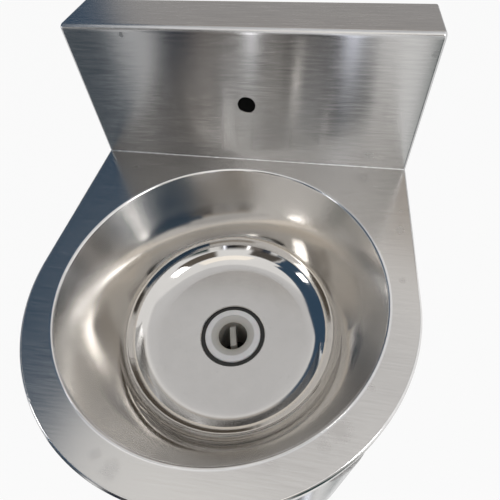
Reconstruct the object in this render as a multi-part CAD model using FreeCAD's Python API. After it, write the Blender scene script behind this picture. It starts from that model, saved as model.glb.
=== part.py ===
import FreeCAD, Part
import math
import os

# Wall-hung hand wash sink of stainless sheet: D-shaped deck, pressed round bowl, box splashback
# with one spout hole, and a knee panel under the deck that pushes a self-closing water valve.
# Millimetres. The origin is on the wall plane, on the centre line, at the height of the deck's top.
# X points right, Y into the wall, Z up.

# ---- driving dimensions ----
bowl_radius = 168.0  # throat of the bowl, just under its rounded rim
bowl_depth = 131.0  # from the deck's top to the lip of the waste recess
bowl_draft = 19.5  # lean of the wall, degrees
bowl_knuckle = 45.0  # bend between wall and floor
bowl_floor_slope = 4.0  # degrees
rim_round = 3.0  # rounding between deck and bowl
deck_land = 32.0  # flat from the bowl's throat out to the deck's edge
deck_to_splash = 22.0  # from the bowl's throat back to the splashback
apron_drop = 15.0  # height of the deck's turned-down edge
apron_round = 2.5
sheet = 1.2
splash_height = 170.0
ledge_depth = 68.0
ledge_round = 6.0  # bend between the front face and the ledge
cheek_round = 3.5  # polished corners along both sides
wall_flange = 20.0
spout_hole_radius = 10.6
spout_hole_height = 82.5

# ---- wall plate and side gussets ----
plate_thickness = 1.5
plate_rise = 60.0  # part of the wall plate inside the splashback
plate_drop = 240.0  # part below the deck
fixing_hole_radius = 4.5
fixing_half_spacing = 150.0
fixing_upper_z = -45.0
fixing_lower_z = -205.0
window_half_width = 55.0  # service window for the pipes
window_top = -50.0
window_bottom = -165.0
window_round = 12.0
gusset_thickness = 1.5
gusset_rise = 40.0
gusset_foot = 32.0  # length of the gusset's straight lower end
gusset_front_gap = 14.0  # from the gusset's tip to where the deck's side starts to curve
gusset_tip_height = 14.0
gusset_sweep_out = 22.0  # how far the lower edge bows away from a straight line
gusset_sweep_down = 24.0

# ---- waste ----
recess_radius = 41.0
recess_drop = 5.5
recess_bevel = 1.1  # at the recess's upper and lower corner
waste_thread_radius = 23.9  # free lower end, inch and a half pipe thread
waste_shank_step = 0.4  # the upper part of the tail, inside the backnut, is this much thicker
waste_hole_gap = 0.7  # the bowl's hole around that part
waste_shank_run = 2.0  # shank that shows under the backnut
waste_wall = 5.2
waste_length = 70.0
waste_flange_gap = 5.3  # from the flange's edge to the recess's wall
waste_flange_edge = 0.8  # bevel on the flange's upper edge
waste_flange_thickness = 3.0
waste_flange_land = 8.2  # flat ring around the dish
waste_step = 0.8
waste_dish_drop = 3.0
seal_wall_gap = 0.4
seal_thickness = 2.0
tail_gap = 0.2  # seal and washer around the tail
washer_width = 6.7
washer_thickness = 1.5
backnut_wall = 5.7
backnut_height = 9.0
backnut_edge = 1.0
backnut_lugs = 8
lug_reach = 3.0
lug_width = 8.0
lug_round = 1.5
cross_bar_width = 8.0
cross_bar_length = 26.0  # raised middle of the bar
cross_bar_depth = 4.6  # from the waste's flange down to its top
cross_bar_drop = 10.0  # from its top to its low ends
cross_bar_height = 16.0
cross_bar_crown = 1.2  # rounding of its upper edges
cross_bar_turn = 14.0  # degrees from the Y axis

# ---- knee panel ----
panel_thickness = 1.5
panel_top = -30.0
panel_height = 220.0
panel_corner = 60.0
panel_tuck = 12.0  # how far the wings stand inside the bowl's throat radius
panel_bowl_gap = 3.2
panel_hem_height = 12.0
panel_hem_thickness = 1.2
panel_return = 12.0
panel_lip_round = 1.2

# ---- pivots ----
pivot_z = -58.0
pivot_radius = 4.0
pivot_running_gap = 0.05
bush_radius = 6.0
bush_collar_radius = 10.0
bush_collar_thickness = 2.7
side_gap = 0.3
bush_proud = 0.3  # end of the bush outside the wing
hinge_thickness = 2.0
hinge_width = 20.0
hinge_edge_gap = 0.4  # from the flange's corner to the deck's bend
hinge_bend = 2.0
hinge_stud_radius = 2.0
hinge_stud_length = 8.5
hinge_stud_edge = 4.8  # from the studs to the flange's edge
hinge_stud_spacing = 10.0
hinge_bowl_gap = 3.7
bolt_head_radius = 8.0
bolt_head_height = 4.0
bolt_head_edge = 1.6
bolt_socket_flats = 5.0
bolt_socket_depth = 2.6
bolt_end_proud = 2.5  # bolt past its nut

# ---- striker on the panel ----
striker_drop = 205.0  # height of the valve's axis under the deck's top
channel_depth = 14.0
channel_web = 30.0
channel_flange = 15.0
channel_length = 120.0
channel_thickness = 1.5
channel_bend = 2.0
striker_bolt_radius = 4.0
striker_bolt_reach = 14.5  # from the channel's back to the bumper's inner end
hole_gap = 0.2  # screws and nose in their holes
bumper_radius = 10.0
bumper_length = 9.5
bumper_cover = 1.5  # rubber over the bolt's end
bumper_crown_radius = 3.0
bumper_crown_drop = 1.4
bumper_edge = 1.0
striker_gap = 0.5

# ---- valve ----
valve_stroke = 8.0
cap_radius = 14.0
cap_thickness = 8.0
cap_front_edge = 2.0
cap_back_edge = 1.0
stem_radius = 5.0
stem_projection = 8.5  # stem between cap and gland
stem_tail = 18.0  # stem behind the gland
collar_radius = 6.5
collar_length = 4.0
collar_gap = 0.3
chamber_end_gap = 1.0  # left behind the stem at full stroke
gland_flats = 23.4
gland_height = 5.0
gland_spigot_radius = 9.0
gland_spigot_length = 4.0
nose_radius = 12.0
nose_length = 19.0
nose_edge = 1.0
barrel_radius = 16.0
barrel_length = 47.0
barrel_edge = 5.0
port_offset = 24.0  # from the barrel's shoulder back to the ports' axis
port_boss_radius = 14.0
port_reach = 34.0
port_socket_radius = 9.3
port_socket_depth = 13.0
port_tilt = 45.0  # ports point outward and down, degrees
locknut_flats = 32.0
locknut_height = 6.0

# ---- cradle that carries the valve ----
cradle_thickness = 3.0
cradle_height = 40.0
cradle_half_width = 75.0
cradle_bend = 4.0
cradle_foot = 27.0
stud_radius = 3.0
stud_length = 15.5
stud_rise = 10.0  # studs above and below the cradle's middle

# ---- worked out from the above ----
deck_radius = bowl_radius + deck_land
bowl_y = -(ledge_depth + deck_to_splash + bowl_radius)
deck_back_y = -ledge_depth + cheek_round  # the deck runs on under the splashback's front face
draft = math.radians(bowl_draft)
throat_round_r = bowl_radius + rim_round
rim_end_r = throat_round_r - rim_round * math.cos(draft)
rim_end_z = -rim_round + rim_round * math.sin(draft)
recess_floor_z = -(bowl_depth + recess_drop)
bowl_under_z = recess_floor_z - sheet
flange_under_z = recess_floor_z + seal_thickness
flange_top_z = flange_under_z + waste_flange_thickness
seal_radius = recess_radius - seal_wall_gap
waste_shank_radius = waste_thread_radius + waste_shank_step
waste_hole_radius = waste_shank_radius + waste_hole_gap
waste_bore_radius = waste_thread_radius - waste_wall
waste_flange_radius = recess_radius - waste_flange_gap
waste_dish_radius = waste_flange_radius - waste_flange_land
washer_radius = waste_shank_radius + washer_width
backnut_radius = waste_shank_radius + backnut_wall


def bowl_outside(z):
    """Outer radius of the bowl's wall at height z."""
    return rim_end_r - (rim_end_z - z) * math.tan(draft) + sheet / math.cos(draft)


panel_half_width = bowl_radius - panel_tuck
panel_inner_y = bowl_y - bowl_outside(panel_top) - panel_bowl_gap
panel_front_y = panel_inner_y - panel_thickness
wing_inner_x = panel_half_width - panel_thickness - panel_hem_thickness
wing_room = bowl_outside(panel_top) ** 2 - wing_inner_x**2
wing_back_y = bowl_y - panel_bowl_gap - math.sqrt(max(wing_room, 0.0))
bush_collar_x = panel_half_width - panel_thickness - bush_collar_thickness
hinge_outer_x = bush_collar_x - side_gap
hinge_inner_x = hinge_outer_x - hinge_thickness
hinge_back_y = bowl_y - math.sqrt((bowl_radius + hinge_bowl_gap) ** 2 - hinge_inner_x**2)
pivot_y = hinge_back_y - hinge_width / 2
striker_z = -striker_drop
channel_back_y = panel_inner_y + channel_depth + channel_thickness
bumper_face_y = channel_back_y + striker_bolt_reach + bumper_cover
striker_web_y = panel_inner_y + channel_depth
cap_front_y = bumper_face_y + striker_gap
gland_front_y = cap_front_y + cap_thickness + stem_projection
nose_front_y = gland_front_y + gland_height
spigot_end_y = nose_front_y + gland_spigot_length
shoulder_y = nose_front_y + nose_length
cradle_front_y = shoulder_y - cradle_thickness
port_y = shoulder_y + port_offset
hinge_front_y = hinge_back_y - hinge_width
hinge_reach = deck_radius - apron_round - hinge_edge_gap
hinge_flange_x = math.sqrt(hinge_reach**2 - (hinge_front_y - bowl_y) ** 2)
hinge_stud_x = hinge_flange_x - hinge_stud_edge

# standard hardware, width across flats and height
m4_nut = (7.0, 4.0)
m6_nut = (10.0, 5.5)
m8_nut = (13.0, 6.5)
m8_head = (13.0, 5.3)
m8_locknut = (13.0, 6.5)

past = 30.0  # how far cutting tools run on beyond what they cut
touch = 1e-6  # lengths closer than this are the same


# ---- geometry helpers ----
def vec(x, y, z):
    return FreeCAD.Vector(x, y, z)


def unit(a, b):
    length = math.hypot(b[0] - a[0], b[1] - a[1])
    return ((b[0] - a[0]) / length, (b[1] - a[1]) / length)


def shifted(points, distance):
    """The polyline moved sideways, to its left for a positive distance, with mitred corners."""
    moved = []
    for i, p in enumerate(points):
        before = unit(points[i - 1], p) if i > 0 else unit(p, points[i + 1])
        after = unit(p, points[i + 1]) if i < len(points) - 1 else before
        normal = (-before[1] - after[1], before[0] + after[0])
        scale = distance / (1 + before[0] * after[0] + before[1] * after[1])
        moved.append((p[0] + normal[0] * scale, p[1] + normal[1] * scale))
    return moved


def turn(points, i):
    before = unit(points[i - 1], points[i])
    after = unit(points[i], points[i + 1])
    return math.atan2(before[0] * after[1] - before[1] * after[0], before[0] * after[0] + before[1] * after[1])


def rounded_edges(points, radii, place):
    """Lines and tangent arcs along a polyline; radii belong to its inner points, zero keeps a corner."""
    edges = []
    start = points[0]
    for i in range(1, len(points) - 1):
        if radii[i - 1] == 0:
            edges.append(Part.makeLine(place(start), place(points[i])))
            start = points[i]
            continue
        angle = turn(points, i)
        before = unit(points[i - 1], points[i])
        after = unit(points[i], points[i + 1])
        radius = radii[i - 1]
        reach = radius * math.tan(abs(angle) / 2)
        p = points[i]
        a = (p[0] - before[0] * reach, p[1] - before[1] * reach)
        b = (p[0] + after[0] * reach, p[1] + after[1] * reach)
        middle = (after[0] - before[0], after[1] - before[1])
        size = math.hypot(*middle)
        out = radius / math.cos(angle / 2) - radius
        m = (p[0] + middle[0] / size * out, p[1] + middle[1] / size * out)
        edges.append(Part.makeLine(place(start), place(a)))
        edges.append(Part.Arc(place(a), place(m), place(b)).toShape())
        start = b
    edges.append(Part.makeLine(place(start), place(points[-1])))
    return edges


def bent_section(points, radii, thickness, place):
    """Face of a bent strip: one side is the polyline, the other lies to its left by thickness."""
    other = shifted(points, thickness)
    other_radii = []
    for i in range(1, len(points) - 1):
        inward = math.copysign(1, turn(points, i))
        other_radii.append(radii[i - 1] - inward * thickness if radii[i - 1] else 0)
    near = rounded_edges(points, radii, place)
    far = rounded_edges(other, other_radii, place)
    ends = [
        Part.makeLine(place(points[-1]), place(other[-1])),
        Part.makeLine(place(points[0]), place(other[0])),
    ]
    return Part.Face(Part.Wire(Part.__sortEdges__(near + far + ends)))


def outline_face(points, place):
    corners = [place(p) for p in points]
    return Part.Face(Part.makePolygon(corners + [corners[0]]))


def in_plan(z):
    return lambda p: vec(p[0], p[1], z)


def in_side(x):
    return lambda p: vec(x, p[0], p[1])


def in_front(y):
    return lambda p: vec(p[0], y, p[1])


def ring_face(profile):
    return outline_face(profile, in_front(0))


def revolved(profile, x=0.0, y=bowl_y):
    """Solid of revolution about a vertical axis; the profile is a list of radius and height."""
    solid = ring_face(profile).revolve(vec(0, 0, 0), vec(0, 0, 1), 360)
    return solid.translated(vec(x, y, 0))


def turned_y(profile, x, z):
    """Solid of revolution about an axis along Y; the profile is a list of radius and y."""
    face = outline_face([(r, y) for r, y in profile], in_plan(0))
    return face.revolve(vec(0, 0, 0), vec(0, 1, 0), 360).translated(vec(x, 0, z))


def rod(radius, start, end):
    axis = end - start
    return Part.makeCylinder(radius, axis.Length, start, axis)


def rod_x(radius, y, z, x0, x1):
    return rod(radius, vec(x0, y, z), vec(x1, y, z))


def rod_y(radius, x, z, y0, y1):
    return rod(radius, vec(x, y0, z), vec(x, y1, z))


def rod_z(radius, x, y, z0, z1):
    return rod(radius, vec(x, y, z0), vec(x, y, z1))


def hexagon(flats, start, end):
    """Hexagonal bar from start to end."""
    axis = end - start
    corner = flats / math.sqrt(3)
    points = [vec(corner * math.cos(k * math.pi / 3), corner * math.sin(k * math.pi / 3), 0) for k in range(7)]
    bar = Part.Face(Part.makePolygon(points)).extrude(vec(0, 0, axis.Length))
    turn_to = FreeCAD.Rotation(vec(0, 0, 1), axis)
    bar.Placement = FreeCAD.Placement(start, turn_to)
    return bar


def nut(flats, bore_radius, start, end):
    """Hexagonal nut bored for its bolt."""
    return hexagon(flats, start, end).cut(rod(bore_radius, start, end))


def box(x0, x1, y0, y1, z0, z1):
    return Part.makeBox(x1 - x0, y1 - y0, z1 - z0, vec(x0, y0, z0))


def mirrored(shape):
    return shape.mirror(vec(0, 0, 0), vec(1, 0, 0))


def joined(shapes):
    whole = shapes[0]
    for shape in shapes[1:]:
        whole = whole.fuse(shape)
    return whole.removeSplitter()


def at(value, wanted):
    return abs(value - wanted) < touch


def edges_where(shape, test):
    return [e for e in shape.Edges if test(e)]


def write(name, shape):
    solids = shape.Solids
    if not shape.isValid() or not solids:
        raise ValueError(name + " is not a valid solid")
    shape.exportStep("parts/" + name + ".step")
    print(name, len(solids), "solid(s)", round(shape.Volume / 1000.0, 2), "cm3")


# ---- deck, bowl, splashback ----
def d_plate(radius, back_y, z0, z1):
    """D-shaped plate: straight sides from the splashback, half circle in front."""
    right_back = vec(radius, back_y, z0)
    right = vec(radius, bowl_y, z0)
    front = vec(0, bowl_y - radius, z0)
    left = vec(-radius, bowl_y, z0)
    left_back = vec(-radius, back_y, z0)
    edges = [
        Part.makeLine(right_back, right),
        Part.Arc(right, front, left).toShape(),
        Part.makeLine(left, left_back),
        Part.makeLine(left_back, right_back),
    ]
    return Part.Face(Part.Wire(edges)).extrude(vec(0, 0, z1 - z0))


def rounded_top(plate, back_y, z1, radius):
    """Rounds the plate's upper edge all along, apart from its straight back."""
    middle = lambda e: e.valueAt((e.FirstParameter + e.LastParameter) / 2)
    rim = edges_where(
        plate, lambda e: at(e.BoundBox.ZMin, z1) and at(e.BoundBox.ZMax, z1) and not at(middle(e).y, back_y)
    )
    return plate.makeFillet(radius, rim)


def make_deck():
    outside = rounded_top(d_plate(deck_radius, deck_back_y, -apron_drop, 0), deck_back_y, 0, apron_round)
    inside_back = deck_back_y + past
    inside = d_plate(deck_radius - sheet, inside_back, -apron_drop - past, -sheet)
    inside = rounded_top(inside, inside_back, -sheet, apron_round - sheet)
    shell = outside.cut(inside).cut(rod_z(throat_round_r, 0, bowl_y, -past, past))
    return joined([shell, make_rim()])


def make_rim():
    """Rounded rim between deck and bowl, turned about the bowl's axis; its hidden side is drawn straight."""
    place = in_front(0)

    def point(radius, angle):
        return place((throat_round_r + radius * math.cos(angle), -rim_round + radius * math.sin(angle)))

    angles = (math.pi / 2, (math.pi * 1.5 - draft) / 2, math.pi - draft)
    outer = [point(rim_round, angle) for angle in angles]
    inner = [point(rim_round - sheet, angle) for angle in angles]
    edges = [
        Part.Arc(*outer).toShape(),
        Part.makeLine(outer[2], inner[2]),
        Part.makeLine(inner[2], inner[1]),
        Part.makeLine(inner[1], inner[0]),
        Part.makeLine(inner[0], outer[0]),
    ]
    face = Part.Face(Part.Wire(Part.__sortEdges__(edges)))
    return face.revolve(vec(0, 0, 0), vec(0, 0, 1), 360).translated(vec(0, bowl_y, 0))


def make_bowl():
    slope = math.tan(math.radians(bowl_floor_slope))
    lean = math.tan(draft)
    # corner where the drafted wall would meet the sloping floor
    corner_z = (-bowl_depth + slope * (rim_end_r - rim_end_z * lean - recess_radius)) / (1 - slope * lean)
    corner_r = rim_end_r - (rim_end_z - corner_z) * lean
    bevel = recess_bevel
    path = [
        (rim_end_r, rim_end_z),
        (corner_r, corner_z),
        (recess_radius + bevel, -bowl_depth + bevel * slope),
        (recess_radius, -bowl_depth - bevel),
        (recess_radius, recess_floor_z + bevel),
        (recess_radius - bevel, recess_floor_z),
        (waste_hole_radius, recess_floor_z),
    ]
    radii = [bowl_knuckle, 0, 0, 0, 0]
    face = bent_section(path, radii, sheet, in_front(0))
    return face.revolve(vec(0, 0, 0), vec(0, 0, 1), 360).translated(vec(0, bowl_y, 0))


def splash_block(inset, back_y, z0):
    """Block of the splashback, set in by the sheet when it hollows; front bend and sides rounded."""
    half = deck_radius - inset
    front = inset - ledge_depth
    top = splash_height - inset
    block = box(-half, half, front, back_y, z0, top)
    at_front = lambda e: at(e.BoundBox.YMin, front) and at(e.BoundBox.YMax, front)
    bend = edges_where(block, lambda e: at_front(e) and at(e.BoundBox.ZMin, top))
    block = block.makeFillet(ledge_round - inset, bend)
    # rounding an upright runs on over the bend and along the side of the ledge
    uprights = edges_where(block, lambda e: at_front(e) and e.BoundBox.ZLength > ledge_round)
    return block.makeFillet(cheek_round - inset, uprights)


def make_splashback():
    outside = splash_block(0, 0, -apron_drop)
    inside = splash_block(sheet, past, -apron_drop - past)
    shell = outside.cut(inside)
    # below the deck's top only the two cheeks go on, from the deck's back end to the wall
    shell = shell.cut(box(-deck_radius - past, deck_radius + past, -ledge_depth - past, deck_back_y, -past, 0))
    band = box(-deck_radius, deck_radius, -sheet, 0, splash_height - wall_flange, splash_height)
    shell = joined([shell, inside.common(band)])
    hole = rod_y(spout_hole_radius, 0, spout_hole_height, -ledge_depth - past, -ledge_depth + past)
    return shell.cut(hole)


# ---- wall plate and gussets ----
def rounded_window(half_width, z0, z1, radius, y0, y1):
    window = box(-half_width, half_width, y0, y1, z0, z1)
    return window.makeFillet(radius, edges_where(window, lambda e: e.BoundBox.YLength > abs(y1 - y0) - 1e-3))


def fixing_points():
    spread = (-fixing_half_spacing, fixing_half_spacing)
    return [(x, z) for z in (fixing_upper_z, fixing_lower_z) for x in spread]


def make_wall_plate():
    half = deck_radius - sheet
    plate = box(-half, half, -plate_thickness, 0, -plate_drop, plate_rise)
    plate = plate.cut(rounded_window(window_half_width, window_bottom, window_top, window_round, -past, past))
    for x, z in fixing_points():
        plate = plate.cut(rod_y(fixing_hole_radius, x, z, -past, past))
    return plate


def make_gusset():
    """Right gusset: a side plate whose lower edge sweeps up from the wall plate to the deck."""
    x = deck_radius - apron_round - gusset_thickness
    back = -plate_thickness
    tip = bowl_y + gusset_front_gap
    place = in_side(x)
    foot = (back - gusset_foot, -plate_drop)
    point = (tip, -sheet - gusset_tip_height)
    middle = ((foot[0] + point[0]) / 2 + gusset_sweep_out, (foot[1] + point[1]) / 2 + gusset_sweep_down)
    corners = [
        point, (tip, -sheet), (deck_back_y, -sheet), (deck_back_y, gusset_rise),
        (back, gusset_rise), (back, -plate_drop), foot,
    ]
    edges = [Part.makeLine(place(a), place(b)) for a, b in zip(corners, corners[1:])]
    edges.append(Part.Arc(place(foot), place(middle), place(point)).toShape())
    return Part.Face(Part.Wire(edges)).extrude(vec(gusset_thickness, 0, 0))


# ---- waste ----
def make_waste_body():
    tail_z = flange_top_z - waste_length
    shank_z = bowl_under_z - washer_thickness - backnut_height - waste_shank_run
    profile = [
        (waste_bore_radius, tail_z),
        (waste_thread_radius, tail_z),
        (waste_thread_radius, shank_z),
        (waste_shank_radius, shank_z),
        (waste_shank_radius, flange_under_z),
        (waste_flange_radius, flange_under_z),
        (waste_flange_radius, flange_top_z - waste_flange_edge),
        (waste_flange_radius - waste_flange_edge, flange_top_z),
        (waste_dish_radius, flange_top_z),
        (waste_dish_radius, flange_top_z - waste_step),
        (waste_bore_radius, flange_top_z - waste_dish_drop),
    ]
    return revolved(profile)


def make_cross_bar():
    """Bar across the waste's bore with a raised middle, that keeps rings and the like back."""
    top = flange_top_z - cross_bar_depth
    low = top - cross_bar_height
    half = cross_bar_width / 2
    run = cross_bar_length / 2
    reach = waste_bore_radius + 1
    middle = box(-half, half, -run, run, low, top)
    middle = middle.makeFillet(cross_bar_crown, edges_where(middle, lambda e: at(e.BoundBox.ZMin, top)))
    ends = box(-half, half, -reach, reach, low, top - cross_bar_drop)
    ends = ends.common(rod_z(waste_bore_radius, 0, 0, low, top))
    bar = joined([middle, ends])
    bar.rotate(vec(0, 0, 0), vec(0, 0, 1), cross_bar_turn)
    return bar.translated(vec(0, bowl_y, 0))


def make_waste_seal():
    """Flat rubber ring whose lower edge is bevelled to sit inside the recess's bend."""
    z0, z1 = recess_floor_z, flange_under_z
    inner = waste_shank_radius + tail_gap
    outer = seal_radius
    bevel = seal_thickness / 2
    return revolved([(inner, z0), (outer - bevel, z0), (outer, z0 + bevel), (outer, z1), (inner, z1)])


def make_waste_washer():
    z1 = bowl_under_z
    z0 = z1 - washer_thickness
    inner = waste_shank_radius + tail_gap
    return revolved([(inner, z0), (washer_radius, z0), (washer_radius, z1), (inner, z1)])


def make_backnut():
    z1 = bowl_under_z - washer_thickness
    z0 = z1 - backnut_height
    outer = backnut_radius
    ring = revolved([
        (waste_shank_radius, z0), (outer - backnut_edge, z0), (outer, z0 + backnut_edge), (outer, z1),
        (waste_shank_radius, z1),
    ])
    lug = box(outer - lug_round, outer + lug_reach, -lug_width / 2, lug_width / 2, z0 + backnut_edge, z1)
    corners = edges_where(lug, lambda e: at(e.BoundBox.XMin, outer + lug_reach) and at(e.BoundBox.YLength, 0))
    lug = lug.makeFillet(lug_round, corners)
    lugs = []
    for k in range(backnut_lugs):
        spun = lug.copy()
        spun.rotate(vec(0, 0, 0), vec(0, 0, 1), k * 360.0 / backnut_lugs)
        lugs.append(spun.translated(vec(0, bowl_y, 0)))
    return joined([ring] + lugs)


# ---- knee panel ----
def panel_path(inset=0.0):
    """Plan outline of the panel, from the right wing's back edge round to the left one's."""
    half = panel_half_width
    front = panel_front_y
    points = [(half, wing_back_y), (half, front), (-half, front), (-half, wing_back_y)]
    return shifted(points, -inset)


def panel_wall(inset, thickness, z0, z1):
    radius = panel_corner - inset
    section = bent_section(panel_path(inset), [radius, radius], -thickness, in_plan(z0))
    return section.extrude(vec(0, 0, z1 - z0))


def make_knee_panel():
    bottom = panel_top - panel_height
    t = panel_thickness
    wall = panel_wall(0, t, bottom, panel_top)
    hem = panel_wall(t, panel_hem_thickness, panel_top - panel_hem_height, panel_top)
    foot = panel_wall(t, panel_return, bottom, bottom + t)
    panel = joined([wall, hem, foot])
    lip = edges_where(
        panel, lambda e: at(e.BoundBox.ZMin, bottom) and at(e.BoundBox.ZMax, bottom) and on_panel_face(e)
    )
    panel = panel.makeFillet(panel_lip_round, lip)
    return panel.cut(rod_x(bush_radius, pivot_y, pivot_z, -deck_radius, deck_radius))


def on_panel_face(edge):
    """True for an edge that runs along the panel's outer face."""
    p = edge.valueAt((edge.FirstParameter + edge.LastParameter) / 2)
    if abs(abs(p.x) - panel_half_width) < 0.01 or abs(p.y - panel_front_y) < 0.01:
        return edge.Length > panel_return * 2
    centre_x = panel_half_width - panel_corner
    centre_y = panel_front_y + panel_corner
    return abs(math.hypot(abs(p.x) - centre_x, p.y - centre_y) - panel_corner) < 0.01


def make_striker_channel():
    """Hat section behind the panel; its web carries the striker bolt."""
    flange_y = panel_inner_y
    half = channel_web / 2
    path = [
        (flange_y, striker_z + half + channel_flange),
        (flange_y, striker_z + half),
        (striker_web_y, striker_z + half),
        (striker_web_y, striker_z - half),
        (flange_y, striker_z - half),
        (flange_y, striker_z - half - channel_flange),
    ]
    wide = channel_bend + channel_thickness
    radii = [wide, channel_bend, channel_bend, wide]
    section = bent_section(path, radii, channel_thickness, in_side(-channel_length / 2))
    channel = section.extrude(vec(channel_length, 0, 0))
    hole = rod_y(striker_bolt_radius + hole_gap, 0, striker_z, striker_web_y - past, striker_web_y + past)
    return channel.cut(hole)


def make_striker_bolt():
    flats, height = m8_head
    head = hexagon(flats, vec(0, striker_web_y - height, striker_z), vec(0, striker_web_y, striker_z))
    end = bumper_face_y - bumper_cover - bumper_crown_drop
    return joined([head, rod_y(striker_bolt_radius, 0, striker_z, striker_web_y, end)])


def make_striker_locknut():
    flats, height = m8_locknut
    start = vec(0, channel_back_y, striker_z)
    return nut(flats, striker_bolt_radius, start, vec(0, channel_back_y + height, striker_z))


def make_bumper():
    """Crowned rubber cap pressed on the bolt's end; it rolls on the valve's cap as the panel swings."""
    back = bumper_face_y - bumper_length
    shoulder = bumper_face_y - bumper_crown_drop
    inner_end = shoulder - bumper_cover
    profile = [
        (0, bumper_face_y), (0, inner_end), (striker_bolt_radius, inner_end), (striker_bolt_radius, back),
        (bumper_radius - bumper_edge, back), (bumper_radius, back + bumper_edge), (bumper_radius, shoulder),
        (bumper_crown_radius, bumper_face_y),
    ]
    return turned_y(profile, 0, striker_z)


# ---- pivots, right side ----
def make_hinge_bracket():
    """Angle under the deck with a rounded lower end that carries the pivot bolt."""
    top = -sheet
    low = pivot_z - hinge_width / 2
    outer_round = hinge_bend + hinge_thickness
    path = [(hinge_inner_x, low), (hinge_inner_x, top), (hinge_flange_x, top)]
    section = bent_section(path, [outer_round], -hinge_thickness, in_front(hinge_front_y))
    angle = section.extrude(vec(0, hinge_width, 0))
    half = hinge_width / 2
    keep = joined([
        box(0, deck_radius, pivot_y - half, pivot_y + half, pivot_z, 0),
        rod_x(half, pivot_y, pivot_z, 0, deck_radius),
    ])
    angle = angle.common(keep)
    angle = angle.cut(rod_x(pivot_radius, pivot_y, pivot_z, 0, deck_radius))
    for y in hinge_stud_places():
        angle = angle.cut(rod_z(hinge_stud_radius, hinge_stud_x, y, -past, past))
    return angle


def hinge_stud_places():
    return [pivot_y - hinge_stud_spacing / 2, pivot_y + hinge_stud_spacing / 2]


def make_hinge_studs():
    low = -sheet - hinge_stud_length
    studs = [rod_z(hinge_stud_radius, hinge_stud_x, y, low, -sheet) for y in hinge_stud_places()]
    return Part.makeCompound(studs + [mirrored(s) for s in studs])


def make_hinge_nuts():
    flats, height = m4_nut
    z1 = -sheet - hinge_thickness
    nuts = []
    for y in hinge_stud_places():
        nuts.append(nut(flats, hinge_stud_radius, vec(hinge_stud_x, y, z1 - height), vec(hinge_stud_x, y, z1)))
    return Part.makeCompound(nuts + [mirrored(n) for n in nuts])


def make_pivot_bush():
    """Collared bush in the wing; the bolt runs in it."""
    x0 = bush_collar_x
    x1 = panel_half_width - panel_thickness
    x2 = panel_half_width + bush_proud
    collar = rod_x(bush_collar_radius, pivot_y, pivot_z, x0, x1)
    sleeve = rod_x(bush_radius, pivot_y, pivot_z, x1, x2)
    bore = rod_x(pivot_radius + pivot_running_gap, pivot_y, pivot_z, x0 - 1, x2 + 1)
    return joined([collar, sleeve]).cut(bore)


def make_pivot_bolt():
    """Low head with a hex socket outside the wing, shank through bush and bracket."""
    seat = panel_half_width + bush_proud + side_gap
    top = seat + bolt_head_height
    end = hinge_inner_x - m8_nut[1] - bolt_end_proud
    head = rod_x(bolt_head_radius, pivot_y, pivot_z, seat, top)
    rim = edges_where(head, lambda e: at(e.BoundBox.XMin, top) and e.BoundBox.ZLength > 1)
    head = head.makeChamfer(bolt_head_edge, rim)
    socket_end = vec(top - bolt_socket_depth, pivot_y, pivot_z)
    socket = hexagon(bolt_socket_flats, socket_end, vec(top + 1, pivot_y, pivot_z))
    return joined([head.cut(socket), rod_x(pivot_radius, pivot_y, pivot_z, end, seat)])


def make_pivot_nuts():
    flats, height = m8_nut
    face = hinge_inner_x
    one = nut(flats, pivot_radius, vec(face - height, pivot_y, pivot_z), vec(face, pivot_y, pivot_z))
    return Part.makeCompound([one, mirrored(one)])


# ---- valve and cradle ----
def make_valve_cradle():
    """One bent strip: two feet on the wall plate, two legs forward, a web across the front."""
    inner = cradle_half_width - cradle_thickness
    foot_y = -plate_thickness
    path = [
        (-inner - cradle_foot, foot_y), (-inner, foot_y), (-inner, shoulder_y),
        (inner, shoulder_y), (inner, foot_y), (inner + cradle_foot, foot_y),
    ]
    wide = cradle_bend + cradle_thickness
    z0 = striker_z - cradle_height / 2
    section = bent_section(path, [wide, cradle_bend, cradle_bend, wide], -cradle_thickness, in_plan(z0))
    strip = section.extrude(vec(0, 0, cradle_height))
    strip = strip.cut(rod_y(nose_radius + hole_gap, 0, striker_z, shoulder_y - past, shoulder_y + past))
    for x, z in stud_places():
        strip = strip.cut(rod_y(stud_radius + hole_gap, x, z, -past, past))
    return strip


def stud_places():
    x = cradle_half_width + cradle_bend + (cradle_foot - cradle_thickness - cradle_bend) / 2
    return [(side * x, striker_z + rise) for side in (-1, 1) for rise in (-stud_rise, stud_rise)]


def make_cradle_studs():
    back = -plate_thickness
    return Part.makeCompound([rod_y(stud_radius, x, z, back - stud_length, back) for x, z in stud_places()])


def make_cradle_nuts():
    flats, height = m6_nut
    y = -plate_thickness - cradle_thickness
    places = stud_places()
    return Part.makeCompound([nut(flats, stud_radius, vec(x, y - height, z), vec(x, y, z)) for x, z in places])


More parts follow.
